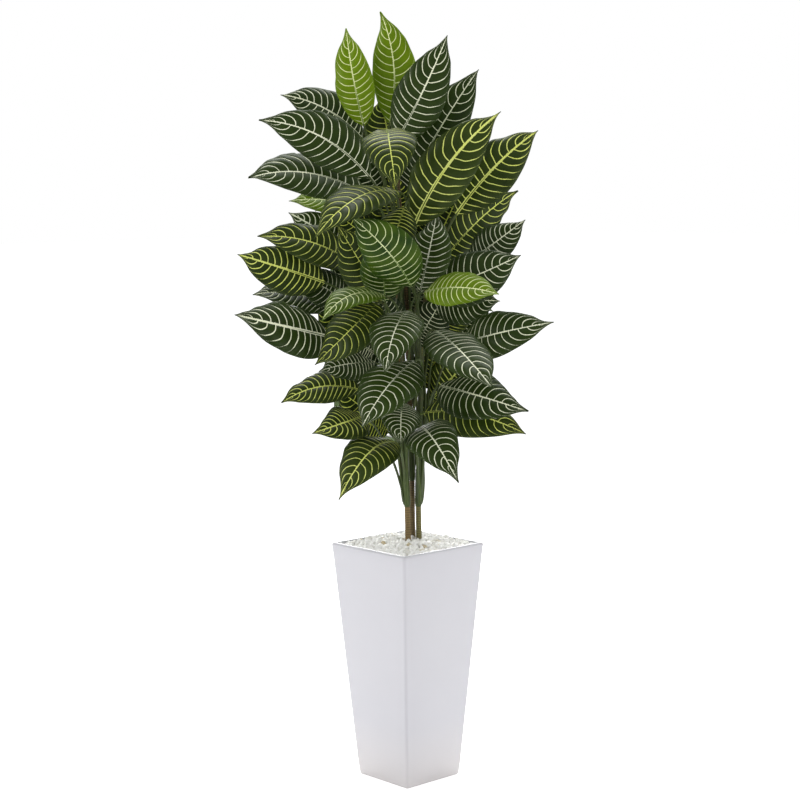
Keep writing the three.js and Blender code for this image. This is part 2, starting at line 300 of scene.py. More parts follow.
# a cool white gloss glaze, a little warmer near the foot, with the soft ripple of a sprayed coat
def glazeFinish(look):
    finish, tree = startFinish("gloss white sprayed glaze")
    where = addNode(tree, "TexCoord")["Object"]
    height = addNode(tree, "SeparateXYZ", [where])["Z"]
    nearFoot = addNode(tree, "MapRange", {"Value": height, "From Min": 0.0, "From Max": 0.11,
                                          "To Min": 0.55, "To Max": 0.0})[0]
    cloud = addNode(tree, "TexNoise", {"Vector": where, "Scale": 9.0, "Detail": 4.0})["Fac"]
    cloudy = addNode(tree, "MixRGB", [cloud, hexColour("#cac9ce"), hexColour(look["glaze"])])[0]
    warm = addNode(tree, "MixRGB", [nearFoot, cloudy, hexColour(look["glazeWarm"])])[0]
    speck = addNode(tree, "TexNoise", {"Vector": where, "Scale": 420.0, "Detail": 2.0})["Fac"]
    dust = addNode(tree, "MapRange", {"Value": speck, "From Min": 0.72, "From Max": 0.8,
                                      "To Min": 0.0, "To Max": 0.06})[0]
    colour = addNode(tree, "MixRGB", [dust, warm, hexColour("#b9b6b2")])[0]
    ripple = addNode(tree, "TexNoise", {"Vector": where, "Scale": 110.0, "Detail": 2.0})["Fac"]
    bump = addNode(tree, "Bump", {"Strength": 0.05, "Distance": 0.001, "Height": ripple})[0]
    closeFinish(tree, addNode(tree, "BsdfPrincipled", {
        "Base Color": colour, "Roughness": look["glazeRoughness"], "Normal": bump, "IOR": 1.5})[0])
    return finish


planter = makePlanter(planterLook)
planter.data.materials.append(glazeFinish(planterLook))
finishPiece(planter, ["planter"])


def peatFinish():  # dark pressed peat, only seen as gaps between the pebbles
    finish, tree = startFinish("dark pressed peat filling")
    where = addNode(tree, "TexCoord")["Object"]
    crumb = addNode(tree, "TexNoise", {
        "Vector": where, "Scale": 260.0, "Detail": 8.0, "Roughness": 0.7})["Fac"]
    ramp = addNode(tree, "ValToRGB", [crumb])
    ramp[0].node.color_ramp.elements[0].color = hexColour("#4b443b")
    ramp[0].node.color_ramp.elements[1].color = hexColour("#8d8578")
    bump = addNode(tree, "Bump", {"Strength": 0.8, "Distance": 0.002, "Height": crumb})[0]
    closeFinish(tree, addNode(tree, "BsdfPrincipled", {
        "Base Color": ramp[0], "Roughness": 0.92, "Normal": bump})[0])
    return finish


nodes["potting_base"].data.materials.clear()
nodes["potting_base"].data.materials.append(peatFinish())


pebbleLook = {
    "Spacing": 0.0074,
    "Size": 0.0074,
    "Sink": 0.003,
    "Chipping": 0.0028,
    "Seed": 7,
    "inset": 1.01,
    "stone": "#fffefb",
    "stain": "#c9b78c",
    "shade": "#f0eee8",
}


def pebbleTree():
    tree, given = startTree("scatterPebbles", {
        "Spacing": "Float", "Size": "Float", "Sink": "Float", "Chipping": "Float", "Seed": "Int",
        "Finish": "Material"})
    points = addNode(tree, "DistributePointsOnFaces", {
        "Mesh": given["Geometry"], "Distance Min": given["Spacing"], "Density Max": 90000.0,
        "Seed": given["Seed"]}, distribute_method="POISSON")["Points"]
    depth = addNode(tree, "RandomValue", {2: 0.0, 3: 1.0, "Seed": given["Seed"]}, data_type="FLOAT")[1]
    sink = addNode(tree, "Math", [depth, given["Sink"]], operation="MULTIPLY")[0]
    down = addNode(tree, "Math", [sink, -1.0], operation="MULTIPLY")[0]
    drop = addNode(tree, "CombineXYZ", {"Z": down})[0]
    points = addNode(tree, "SetPosition", {"Geometry": points, "Offset": drop})[0]
    tint = addNode(tree, "RandomValue", {2: 0.0, 3: 1.0, "Seed": 21}, data_type="FLOAT")[1]
    points = addNode(tree, "StoreNamedAttribute", {"Geometry": points, "Name": "tint", "Value": tint},
                     data_type="FLOAT", domain="POINT")[0]
    pebble = addNode(tree, "MeshUVSphere", {"Segments": 9, "Rings": 6, "Radius": 1.0})[0]
    turn = addNode(tree, "RandomValue", {0: (0.0, 0.0, 0.0), 1: (6.28, 6.28, 6.28), "Seed": 3},
                   data_type="FLOAT_VECTOR")[0]
    ratio = addNode(tree, "RandomValue", {0: (0.72, 0.6, 0.5), 1: (1.12, 0.95, 0.8), "Seed": 5},
                    data_type="FLOAT_VECTOR")[0]
    size = addNode(tree, "VectorMath", {0: ratio, "Scale": given["Size"]}, operation="SCALE")[0]
    heap = addNode(tree, "InstanceOnPoints", {
        "Points": points, "Instance": pebble, "Rotation": turn, "Scale": size})[0]
    heap = addNode(tree, "RealizeInstances", [heap])[0]
    where = addNode(tree, "InputPosition")[0]
    lumps = addNode(tree, "TexNoise", {"Vector": where, "Scale": 210.0, "Detail": 1.0})["Fac"]
    lumps = addNode(tree, "Math", [lumps, 0.5], operation="SUBTRACT")[0]
    lumps = addNode(tree, "Math", [lumps, given["Chipping"]], operation="MULTIPLY")[0]
    lumps = addNode(tree, "Math", [lumps, 3.0], operation="MULTIPLY")[0]
    out = addNode(tree, "InputNormal")[0]
    push = addNode(tree, "VectorMath", {0: out, "Scale": lumps}, operation="SCALE")[0]
    heap = addNode(tree, "SetPosition", {"Geometry": heap, "Offset": push})[0]
    heap = addNode(tree, "SetShadeSmooth", {"Geometry": heap})[0]
    closeTree(tree, heap, given["Finish"])
    return tree


def pebbleFinish(look):  # tumbled white marble chips, some stained beige, dull with a soft grain
    finish, tree = startFinish("tumbled white marble")
    where = addNode(tree, "TexCoord")["Object"]
    tint = addNode(tree, "Attribute", attribute_name="tint")["Fac"]
    ramp = addNode(tree, "ValToRGB", [tint])
    ramp[0].node.color_ramp.elements[0].color = hexColour(look["shade"])
    ramp[0].node.color_ramp.elements[0].position = 0.0
    ramp[0].node.color_ramp.elements[1].color = hexColour(look["stone"])
    ramp[0].node.color_ramp.elements[1].position = 0.25
    stained = ramp[0].node.color_ramp.elements.new(0.93)
    stained.color = hexColour(look["stone"])
    last = ramp[0].node.color_ramp.elements.new(1.0)
    last.color = hexColour(look["stain"])
    vein = addNode(tree, "TexNoise", {
        "Vector": where, "Scale": 160.0, "Detail": 5.0, "Distortion": 1.2})["Fac"]
    veined = addNode(tree, "MapRange", {"Value": vein, "From Min": 0.52, "From Max": 0.72,
                                        "To Min": 0.0, "To Max": 0.3})[0]
    colour = addNode(tree, "MixRGB", [veined, ramp[0], hexColour("#bdb6a4")])[0]
    grit = addNode(tree, "TexNoise", {"Vector": where, "Scale": 900.0, "Detail": 3.0})["Fac"]
    bump = addNode(tree, "Bump", {"Strength": 0.4, "Distance": 0.0006, "Height": grit})[0]
    rough = addNode(tree, "MapRange", {"Value": grit, "To Min": 0.5, "To Max": 0.75})[0]
    closeFinish(tree, addNode(tree, "BsdfPrincipled", {
        "Base Color": colour, "Roughness": rough, "Normal": bump, "IOR": 1.49})[0])
    return finish


def makePebbles(look):
    shape = bmesh.new()
    shape.from_mesh(nodes["pebble_bed"].data)
    bmesh.ops.remove_doubles(shape, verts=shape.verts, dist=1e-5)
    shape.normal_update()
    bmesh.ops.delete(shape, geom=[f for f in shape.faces if f.normal.z < 0.5], context="FACES")
    for v in shape.verts:
        v.co.x *= look["inset"]
        v.co.y *= look["inset"]
        v.co.z += look["Size"] * 0.6
    bed = newPiece("marblePebbles", [(0, 0, 0)])
    shape.to_mesh(bed.data)
    shape.free()
    return growPiece(bed, pebbleTree(), {**look, "Finish": pebbleFinish(look)})


pebbles = makePebbles(pebbleLook)
finishPiece(pebbles, ["pebble_bed"])


# base and tip in the plant's millimetres, width, (face turn, face rise) in degrees, how far the midrib
# arches and sweeps, tone, lightness of the blade (its own tone, raised as painted sheen on the leaves that
# shine), vein width
def leaf(base, tip, width, face, arch, sweep, tone, light=0.4, veins=1.0):
    return {"base": base, "tip": tip, "width": width, "face": face, "arch": arch, "sweep": sweep,
            "tone": tone, "light": light, "veins": veins}


canes = {
    "left": {
        "path": [(3, -12, 400), (1.5, -12, 429), (0, -12, 497), (-4, -14, 600), (-10, -16, 800),
                 (-20, -18, 985)],
        "collar": 497,
        "bark": 0.0,
        "leaves": [
            leaf([-10, -70, 1045], [-150, -195, 970], 95, [-15, 50], 32, 0, "yellow", 0.4, 1.0),
            leaf([-65, -5, 1040], [-265, -90, 1070], 95, [0, 35], 2, 28, "white", 0.45, 1.1),
            leaf([-60, 45, 1010], [-205, 50, 1030], 62, [0, 40], 10, 6, "bright", 0.5, 0.9),
            leaf([-95, 25, 940], [-205, 40, 1010], 66, [10, 20], 8, 0, "white", 0.4, 1.3),
            leaf([-85, -10, 915], [-255, -35, 970], 84, [0, 40], 22, 6, "yellow", 0.4, 1.1),
            leaf([-140, -35, 890], [-290, -40, 940], 88, [0, 22], 10, -2, "yellow", 0.35, 1.35),
            leaf([-120, -25, 840], [-265, -45, 870], 80, [0, 50], 2, 20, "white", 0.3, 0.9),
            leaf([-125, -55, 795], [-285, -180, 845], 105, [-10, 30], 12, -8, "white", 0.4, 1.6),
            leaf([-35, -110, 870], [-140, -190, 835], 70, [-10, 60], 22, 6, "bright", 0.3, 1.0),
            leaf([-50, -80, 855], [-155, -130, 755], 88, [-15, 28], 26, -14, "yellow", 0.3, 0.75),
            leaf([-55, -45, 750], [-150, -90, 740], 68, [0, 40], 6, 2, "white", 0.3, 0.8),
            leaf([-80, -70, 705], [-215, -80, 685], 76, [0, 50], 10, 14, "yellow", 0.4, 1.1),
            leaf([-75, -75, 660], [-160, -145, 640], 78, [0, 40], 18, -12, "yellow", 0.4, 1.2),
            leaf([15, -120, 760], [-75, -230, 660], 105, [-20, 33], 16, 0, "white", 0.6, 1.0),
            leaf([5, -120, 845], [-35, -240, 750], 88, [-10, 40], 24, 2, "white", 0.5, 0.9),
            leaf([-20, -80, 615], [-115, -200, 535], 88, [-8, 35], 40, 2, "yellow", 0.5, 1.1),
            leaf([-5, -95, 685], [-10, -175, 625], 72, [10, 45], 14, 4, "white", 0.5, 0.85),
            leaf([-35, -90, 860], [-40, -120, 980], 82, [-10, 15], 10, 2, "bright", 0.1, 0.85),
            leaf([-35, -60, 855], [-115, -80, 990], 82, [-15, 25], 10, 0, "yellow", 0.3, 0.75),
            leaf([-95, -10, 850], [-200, -15, 905], 74, [0, 35], 10, 0, "white", 0.2, 0.7),
            leaf([-35, -5, 625], [-110, -15, 650], 74, [0, 30], 8, 0, "yellow", 0.2, 1.0),
            leaf([0, -80, 1020], [-30, -110, 925], 66, [-10, 15], 6, 0, "yellow", 0.3, 0.9),
        ],
        "innerLeaves": [
            leaf([-55, -20, 765], [-130, -40, 800], 72, [0, 30], 8, 0, "white", 0.15, 1.2),
            leaf([-30, 20, 930], [-125, 45, 1010], 80, [0, 25], 10, 0, "yellow", 0.1, 0.8),
            leaf([-20, -15, 790], [-60, -45, 880], 80, [0, 15], 8, 0, "white", 0.15, 0.8),
            leaf([-60, 60, 770], [-190, 150, 790], 88, [190, 50], 22, 0, "white", 0.35, 1.0),
            leaf([-60, 15, 780], [-160, 15, 850], 94, [0, 25], 8, 0, "yellow", 0.1, 0.9),
            leaf([-40, 15, 700], [-140, 10, 775], 92, [0, 25], 8, 0, "white", 0.15, 0.9),
            leaf([-30, 15, 625], [-125, 10, 700], 88, [0, 25], 8, 0, "yellow", 0.15, 0.9),
            leaf([-40, 25, 850], [-130, 30, 930], 92, [0, 25], 8, 0, "white", 0.1, 0.8),
        ],
    },
    "center": {
        "path": [(11, 14, 400), (10, 14, 424), (9, 14, 540), (6, 14, 700), (0, 14, 900), (-12, 14, 1080)],
        "collar": 540,
        "bark": 0.5,
        "leaves": [
            # the two top leaves at full lightness: young light green, with painted light shining through them
            leaf([-70, 20, 1160], [-100, 45, 1330], 68, [-10, 10], 8, -2, "bright", 1.0, 1.0),
            leaf([-25, 45, 1165], [-40, 70, 1360], 78, [-5, 10], 4, 16, "bright", 0.85, 1.0),
            leaf([-15, -10, 1130], [75, -45, 1310], 88, [-5, 5], 16, 6, "white", 0.4, 1.1),
            leaf([15, 5, 1070], [130, 5, 1255], 88, [-5, 15], 10, -2, "white", 0.35, 1.05),
            leaf([-30, -75, 1150], [-15, -195, 1050], 92, [-5, 45], 32, 0, "yellow", 0.35, 0.9),
            leaf([-75, 40, 1140], [-215, 20, 1215], 80, [0, 30], 6, 14, "white", 0.35, 1.1),
            leaf([-60, -35, 1070], [-250, -20, 1170], 90, [-10, 20], 18, 20, "white", 0.4, 1.15),
            leaf([-30, 75, 1120], [-110, 215, 1150], 88, [180, 50], 18, 0, "white", 0.4, 1.0),
            leaf([40, 75, 1090], [130, 200, 1130], 88, [170, 50], 18, 0, "yellow", 0.4, 1.0),
            leaf([-45, 80, 1010], [-165, 200, 1010], 90, [190, 50], 22, 0, "yellow", 0.35, 1.1),
            leaf([50, 80, 960], [165, 205, 970], 90, [170, 50], 22, 0, "white", 0.45, 1.0),
            leaf([-50, 80, 880], [-170, 205, 860], 92, [190, 50], 24, 0, "white", 0.4, 1.1),
            leaf([0, 90, 790], [-20, 245, 750], 94, [180, 50], 24, 0, "white", 0.5, 1.0),
            leaf([55, 80, 840], [165, 215, 820], 92, [170, 50], 24, 0, "yellow", 0.4, 1.1),
            leaf([-40, 70, 690], [-135, 185, 640], 90, [190, 50], 24, 0, "yellow", 0.45, 1.0),
            leaf([45, 70, 680], [140, 185, 630], 90, [170, 50], 24, 0, "white", 0.4, 1.0),
        ],
        "innerLeaves": [
            leaf([-5, 25, 985], [-25, 40, 1080], 76, [0, 15], 8, 0, "yellow", 0.1, 0.9),
            leaf([0, 70, 1140], [25, 180, 1240], 84, [180, 40], 16, 0, "yellow", 0.5, 1.0),
            leaf([0, 60, 600], [-10, 180, 560], 80, [180, 50], 18, 0, "yellow", 0.4, 1.0),
            leaf([15, 60, 960], [20, 190, 1040], 86, [175, 45], 16, 0, "white", 0.4, 1.1),
            leaf([-20, 45, 1090], [-40, 65, 1215], 88, [0, 10], 6, 0, "yellow", 0.35, 1.0),
            leaf([-25, 45, 1015], [-90, 60, 1120], 96, [0, 15], 6, 0, "white", 0.15, 0.9),
            leaf([-15, 40, 925], [-45, 50, 1050], 94, [0, 15], 6, 0, "yellow", 0.1, 1.0),
            leaf([10, 30, 1020], [55, 40, 1120], 90, [0, 15], 6, 0, "white", 0.15, 0.9),
        ],
    },
    "right": {
        "path": [(21, -2, 400), (20.6, -2, 427), (20, -2, 496), (22, -4, 620), (30, -6, 800), (42, -6, 950)],
        "collar": 496,
        "bark": 1.0,
        "leaves": [
            leaf([15, -50, 985], [165, -60, 1180], 98, [0, 15], 20, -14, "yellow", 0.5, 1.55),
            leaf([90, 0, 1005], [235, 30, 1150], 92, [0, 20], 18, -6, "yellow", 0.4, 1.45),
            leaf([65, 20, 920], [200, 55, 1045], 80, [30, 0], 8, -14, "yellow", 0.3, 1.0),
            leaf([20, -90, 640], [85, -215, 565], 88, [0, 25], 44, 0, "white", 0.45, 1.1),
            leaf([60, -60, 710], [205, -150, 675], 98, [5, 30], 28, 12, "white", 0.35, 1.15),
            leaf([30, -30, 660], [205, -100, 630], 86, [0, 22], 26, -8, "yellow", 0.4, 1.0),
            leaf([50, -110, 810], [140, -245, 725], 105, [20, 40], 16, 6, "white", 0.45, 1.1),
            leaf([90, -50, 780], [250, -135, 825], 84, [5, 25], 34, 10, "white", 0.4, 1.05),
            leaf([30, -100, 875], [155, -180, 875], 74, [5, 38], 10, -4, "bright", 0.75, 1.0),
            leaf([40, -50, 870], [200, -45, 935], 94, [7, 20], 14, 6, "white", 0.35, 1.0),
            leaf([110, 5, 920], [210, -5, 995], 74, [-10, 28], 10, 5, "white", 0.35, 1.0),
            leaf([25, -70, 875], [55, -30, 1005], 78, [-15, 25], 22, 8, "white", 0.6, 0.95),
            leaf([10, -125, 885], [-90, -160, 1005], 93, [-25, 10], 15, 14, "bright", 0.12, 0.9),
            leaf([45, 0, 680], [130, 0, 770], 78, [5, 20], 4, 0, "yellow", 0.5, 1.2),
            leaf([45, -20, 850], [165, -30, 855], 84, [0, 20], 10, 0, "white", 0.3, 0.9),
            leaf([60, -10, 795], [105, 5, 875], 72, [0, 15], 8, 0, "yellow", 0.15, 0.8),
        ],
        "innerLeaves": [
            leaf([20, -10, 780], [65, -25, 860], 80, [0, 15], 8, 0, "white", 0.15, 0.8),
            leaf([30, 15, 700], [80, 25, 800], 78, [0, 20], 8, 0, "yellow", 0.15, 0.9),
            leaf([65, 60, 750], [190, 150, 760], 88, [170, 50], 22, 0, "white", 0.35, 1.0),
            leaf([70, 60, 1010], [185, 165, 1080], 86, [165, 45], 18, 0, "white", 0.4, 1.1),
            leaf([40, 30, 925], [105, 50, 1055], 98, [0, 15], 6, 0, "yellow", 0.15, 1.0),
            leaf([15, 25, 830], [35, 35, 955], 96, [0, 15], 6, 0, "white", 0.1, 0.9),
            leaf([50, 25, 770], [150, 30, 860], 96, [0, 20], 6, 0, "white", 0.15, 0.9),
            leaf([30, 30, 620], [110, 40, 700], 86, [0, 25], 6, 0, "yellow", 0.2, 1.0),
        ],
    },
}

bladeLook = {
    "steps": 46,
    "acrossSteps": 20,
    "widest": 0.42,
    "taper": 1.05,
    "tipPinch": 0.45,
    "tipStart": 0.8,
    "neck": 2.2,
    "thickness": 0.0009,
    "Fold Rise": 0.22,
    "Margin Droop": 0.3,
    "Wave Height": 0.0042,
    "Wave Size": 26.0,
}


def midribOf(blade):
    base, tip = np.array(blade["base"], float), np.array(blade["tip"], float)
    turn, rise = (math.radians(a) for a in blade["face"])
    ahead = unit(tip - base)
    face = np.array([math.sin(turn) * math.cos(rise), -math.cos(turn) * math.cos(rise), math.sin(rise)])
    face = unit(face - ahead * (face @ ahead))
    bend = (base + tip) / 2 + 2 * blade["arch"] * face + 2 * blade["sweep"] * np.cross(ahead, face)
    return base, bend, tip, face


def outlineAt(t, look):
    rise = look["taper"] * look["widest"] / (1 - look["widest"])
    peak = look["widest"] ** rise * (1 - look["widest"]) ** look["taper"]
    pinch = 1 - look["tipPinch"] * smooth(look["tipStart"], 1, t)
    return t ** rise * (1 - t) ** look["taper"] / peak * pinch


# one line of points along each midrib, with what the blade needs at each point
def bladeLines(blades, look, seed):
    rnd = random.Random(seed)
    points, edges = [], []
    values = {k: [] for k in ("face", "half", "along", "reach", "light", "veins", "shift")}
    for blade in blades:
        base, bend, tip, face = midribOf(blade)
        steps, first = look["steps"], len(points)
        line = [base * (1 - t) ** 2 + bend * 2 * t * (1 - t) + tip * t * t
                for t in np.linspace(0, 1, steps + 1)]
        length = sum(np.linalg.norm(b - a) for a, b in zip(line, line[1:]))
        shift = rnd.random()
        for i, point in enumerate(line):
            t = i / steps
            way = unit((bend - base) * (1 - t) + (tip - bend) * t)
            half = max(blade["width"] / 2 * outlineAt(t, look), look["neck"] if t < 0.5 else 0.3)
            up = unit(face - way * (face @ way))
            points.append(point)
            for label, value in (("face", up), ("half", half * mm), ("along", t), ("reach", length * mm),
                                 ("light", blade["light"]), ("veins", blade["veins"]), ("shift", shift)):
                values[label].append(value)
            if i:
                edges.append((first + i - 1, first + i))
    values["face"] = np.array(values["face"]) @ np.array(plantTurn).T
    return place(points), edges, values


def bladeTree(acrossSteps):
    tree, given = startTree("sweepBlades", {
        "Fold Rise": "Float", "Margin Droop": "Float", "Wave Height": "Float", "Wave Size": "Float",
        "Finish": "Material"})
    midrib = addNode(tree, "MeshToCurve", [given["Geometry"]])[0]
    face = addNode(tree, "InputNamedAttribute", {"Name": "face"}, data_type="FLOAT_VECTOR")[0]
    midrib = addNode(tree, "SetCurveNormal", {"Curve": midrib, "Normal": face}, mode="FREE")[0]
    section = addNode(tree, "CurvePrimitiveLine", {"Start": (0.0, -1.0, 0.0), "End": (0.0, 1.0, 0.0)})[0]
    section = addNode(tree, "ResampleCurve", {"Curve": section, "Count": acrossSteps + 1})[0]
    v = addNode(tree, "SeparateXYZ", [addNode(tree, "InputPosition")[0]])["Y"]
    section = addNode(tree, "StoreNamedAttribute", {"Geometry": section, "Name": "across", "Value": v},
                      data_type="FLOAT", domain="POINT")[0]
    away = addNode(tree, "Math", [v], operation="ABSOLUTE")[0]
    rise = addNode(tree, "Math", [away, given["Fold Rise"]], operation="MULTIPLY")[0]
    square = addNode(tree, "Math", [away, away], operation="MULTIPLY")[0]
    droop = addNode(tree, "Math", [square, given["Margin Droop"]], operation="MULTIPLY")[0]
    lift = addNode(tree, "Math", [rise, droop], operation="SUBTRACT")[0]
    section = addNode(tree, "SetPosition", {"Geometry": section,
                                            "Offset": addNode(tree, "CombineXYZ", {"X": lift})[0]})[0]
    half = addNode(tree, "InputNamedAttribute", {"Name": "half"}, data_type="FLOAT")[0]
    skin = addNode(tree, "CurveToMesh", {"Curve": midrib, "Profile Curve": section, "Scale": half})[0]
    across = addNode(tree, "InputNamedAttribute", {"Name": "across"}, data_type="FLOAT")[0]
    edge = addNode(tree, "Math", [addNode(tree, "Math", [across], operation="ABSOLUTE")[0], 1.6],
                   operation="POWER")[0]
    where = addNode(tree, "InputPosition")[0]
    wave = addNode(tree, "TexNoise", {"Vector": where, "Scale": given["Wave Size"], "Detail": 1.0})["Fac"]
    wave = addNode(tree, "Math", [wave, 0.5], operation="SUBTRACT")[0]
    wave = addNode(tree, "Math", [wave, edge], operation="MULTIPLY")[0]
    wave = addNode(tree, "Math", [wave, given["Wave Height"]], operation="MULTIPLY")[0]
    wave = addNode(tree, "Math", [wave, 4.0], operation="MULTIPLY")[0]
    out = addNode(tree, "InputNormal")[0]
    push = addNode(tree, "VectorMath", {0: out, "Scale": wave}, operation="SCALE")[0]
    skin = addNode(tree, "SetPosition", {"Geometry": skin, "Offset": push})[0]
    skin = addNode(tree, "SetShadeSmooth", {"Geometry": skin})[0]
    closeTree(tree, skin, given["Finish"])
    return tree


veinLook = {
    "count": 18.6,
    "crowding": 4.4,
    "bowBase": 0.7,
    "bowTip": 2.3,
    "bowPower": 2.0,
    "wander": 0.1,
    "width": 0.00056,
    "midribBase": 0.0014,
    "midribTip": 0.0007,
    "fray": 0.0009,
}


def bladeFinish(title, look, tones):  # printed cloth leaf: painted-on veins, a soft satin coat over a fine weave
    finish, tree = startFinish(title)
    where = addNode(tree, "TexCoord")["Object"]
    t, across, half, reach, light, veins, shift = (
        addNode(tree, "Attribute", attribute_name=a)["Fac"]
        for a in ("along", "across", "half", "reach", "light", "veins", "shift"))
    away = addNode(tree, "Math", [across], operation="ABSOLUTE")[0]
    side = addNode(tree, "Math", [across, 0.0], operation="GREATER_THAN")[0]
    # how many side veins lie between the stalk and here, with each vein bowed towards the tip
    crowd = addNode(tree, "Math", [t, -look["crowding"], look["count"]], operation="MULTIPLY_ADD")[0]
    order = addNode(tree, "Math", [crowd, t], operation="MULTIPLY")[0]
    bow = addNode(tree, "Math", [t, look["bowTip"], look["bowBase"]], operation="MULTIPLY_ADD")[0]
    bent = addNode(tree, "Math", [away, look["bowPower"]], operation="POWER")[0]
    order = addNode(tree, "Math", [order, addNode(tree, "Math", [bow, bent], operation="MULTIPLY")[0]],
                    operation="SUBTRACT")[0]
    order = addNode(tree, "Math", [side, 0.45, order], operation="MULTIPLY_ADD")[0]
    order = addNode(tree, "Math", [order, shift], operation="ADD")[0]
    drift = addNode(tree, "TexNoise", {"Vector": where, "Scale": 42.0, "Detail": 1.0})["Fac"]
    drift = addNode(tree, "Math", [drift, 0.5], operation="SUBTRACT")[0]
    order = addNode(tree, "Math", [drift, 4 * look["wander"], order], operation="MULTIPLY_ADD")[0]
    part = addNode(tree, "Math", [order], operation="FRACT")[0]
    gap = addNode(tree, "Math", [part, 0.5], operation="SUBTRACT")[0]
    gap = addNode(tree, "Math", [gap], operation="ABSOLUTE")[0]
    # the gap becomes metres by dividing by how fast the count changes along and across the blade
    pace = addNode(tree, "Math", [t, -2 * look["crowding"], look["count"]], operation="MULTIPLY_ADD")[0]
    pace = addNode(tree, "Math", [pace, reach], operation="DIVIDE")[0]
    lean = addNode(tree, "Math", [away, look["bowPower"] - 1], operation="POWER")[0]
    lean = addNode(tree, "Math", [addNode(tree, "Math", [lean, bow], operation="MULTIPLY")[0],
                                  look["bowPower"]], operation="MULTIPLY")[0]
    lean = addNode(tree, "Math", [lean, half], operation="DIVIDE")[0]
    slope = addNode(tree, "Math", [addNode(tree, "Math", [pace, pace], operation="MULTIPLY")[0],
                                   addNode(tree, "Math", [lean, lean], operation="MULTIPLY")[0]],
                    operation="ADD")[0]
    slope = addNode(tree, "Math", [slope], operation="SQRT")[0]
    gapSize = addNode(tree, "Math", [gap, slope], operation="DIVIDE")[0]
    # side veins thin out before the margin and before the tip, with a frayed edge
    hair = addNode(tree, "TexNoise", {"Vector": where, "Scale": 620.0, "Detail": 2.0})["Fac"]
    hair = addNode(tree, "Math", [hair, 0.5], operation="SUBTRACT")[0]
    outer = addNode(tree, "MapRange", {"Value": away, "From Min": 0.6, "From Max": 0.94, "To Min": 1.0,
                                       "To Max": 0.0}, interpolation_type="SMOOTHSTEP")[0]
    ending = addNode(tree, "MapRange", {"Value": t, "From Min": 0.8, "From Max": 0.93, "To Min": 1.0,
                                        "To Max": 0.0}, interpolation_type="SMOOTHSTEP")[0]
    thick = addNode(tree, "Math", [addNode(tree, "Math", [outer, ending], operation="MULTIPLY")[0],
                                   look["width"]], operation="MULTIPLY")[0]
    thick = addNode(tree, "Math", [thick, veins], operation="MULTIPLY")[0]
    thick = addNode(tree, "Math", [hair, look["fray"], thick], operation="MULTIPLY_ADD")[0]
    over = addNode(tree, "Math", [thick, gapSize], operation="SUBTRACT")[0]
    sideVein = addNode(tree, "MapRange", {"Value": over, "From Min": -0.00025, "From Max": 0.00025},
                       interpolation_type="SMOOTHSTEP")[0]
    # the midrib band
    offset = addNode(tree, "Math", [away, half], operation="MULTIPLY")[0]
    band = addNode(tree, "MapRange", {"Value": t, "From Min": 0.0, "From Max": 0.95,
                                      "To Min": look["midribBase"], "To Max": look["midribTip"]})[0]
    band = addNode(tree, "Math", [band, addNode(tree, "Math", [veins, 1.8], operation="POWER")[0]],
                   operation="MULTIPLY")[0]
    band = addNode(tree, "Math", [hair, 3.4 * look["fray"], band], operation="MULTIPLY_ADD")[0]
    over = addNode(tree, "Math", [band, offset], operation="SUBTRACT")[0]
    midrib = addNode(tree, "MapRange", {"Value": over, "From Min": -0.0003, "From Max": 0.0003},
                     interpolation_type="SMOOTHSTEP")[0]
    pattern = addNode(tree, "Math", [sideVein, midrib], operation="MAXIMUM")[0]
    tipFade = addNode(tree, "MapRange", {"Value": t, "From Min": 0.93, "From Max": 0.985, "To Min": 1.0,
                                         "To Max": 0.0})[0]
    pattern = addNode(tree, "Math", [pattern, tipFade], operation="MULTIPLY")[0]
    groove = addNode(tree, "MapRange", {"Value": offset, "From Min": 0.0006, "From Max": 0.0011,
                                        "To Min": 1.0, "To Max": 0.0})[0]
    nearStalk = addNode(tree, "MapRange", {"Value": t, "From Min": 0.22, "From Max": 0.55, "To Min": 1.0,
                                           "To Max": 0.0}, interpolation_type="SMOOTHSTEP")[0]
    groove = addNode(tree, "Math", [groove, nearStalk], operation="MULTIPLY")[0]
    # colours
    cloud = addNode(tree, "TexNoise", {"Vector": where, "Scale": 38.0, "Detail": 3.0})["Fac"]
    cloud = addNode(tree, "MapRange", {"Value": cloud, "From Min": 0.3, "From Max": 0.7, "To Min": -0.16,
                                       "To Max": 0.16})[0]
    # the blade's lightness mixes its own tone with painted sheen on the leaves that shine
    mixing = addNode(tree, "Math", [light, cloud], operation="ADD", use_clamp=True)[0]
    ground = addNode(tree, "MixRGB", [mixing, hexColour(tones["dark"]), hexColour(tones["light"])])[0]
    line = addNode(tree, "MixRGB", [mixing, hexColour(tones["vein"]), hexColour(tones["veinLight"])])[0]
    colour = addNode(tree, "MixRGB", [pattern, ground, line])[0]
    colour = addNode(tree, "MixRGB", [groove, colour, hexColour(tones["groove"])])[0]
    # relief: veins pressed in, cloth grain under the coat
    quilt = addNode(tree, "MapRange", {"Value": gap, "From Min": 0.0, "From Max": 0.4},
                    interpolation_type="SMOOTHSTEP")[0]
    quilt = addNode(tree, "Math", [quilt, addNode(tree, "MapRange", {
        "Value": offset, "From Min": 0.0, "From Max": 0.006})[0]], operation="MULTIPLY")[0]
    bump = addNode(tree, "Bump", {"Strength": tones["relief"], "Distance": 0.0012, "Height": quilt})[0]
    weave = addNode(tree, "TexNoise", {"Vector": where, "Scale": 1400.0, "Detail": 2.0})["Fac"]
    bump = addNode(tree, "Bump", {"Strength": 0.12, "Distance": 0.0003, "Height": weave, "Normal": bump})[0]
    rough = addNode(tree, "MapRange", {"Value": pattern, "To Min": tones["roughness"],
                                       "To Max": tones["roughness"] + 0.12})[0]
    closeFinish(tree, addNode(tree, "BsdfPrincipled", {
        "Base Color": colour, "Roughness": rough, "Normal": bump, "IOR": 1.45,
        "Specular IOR Level": 0.2})[0])
    return finish


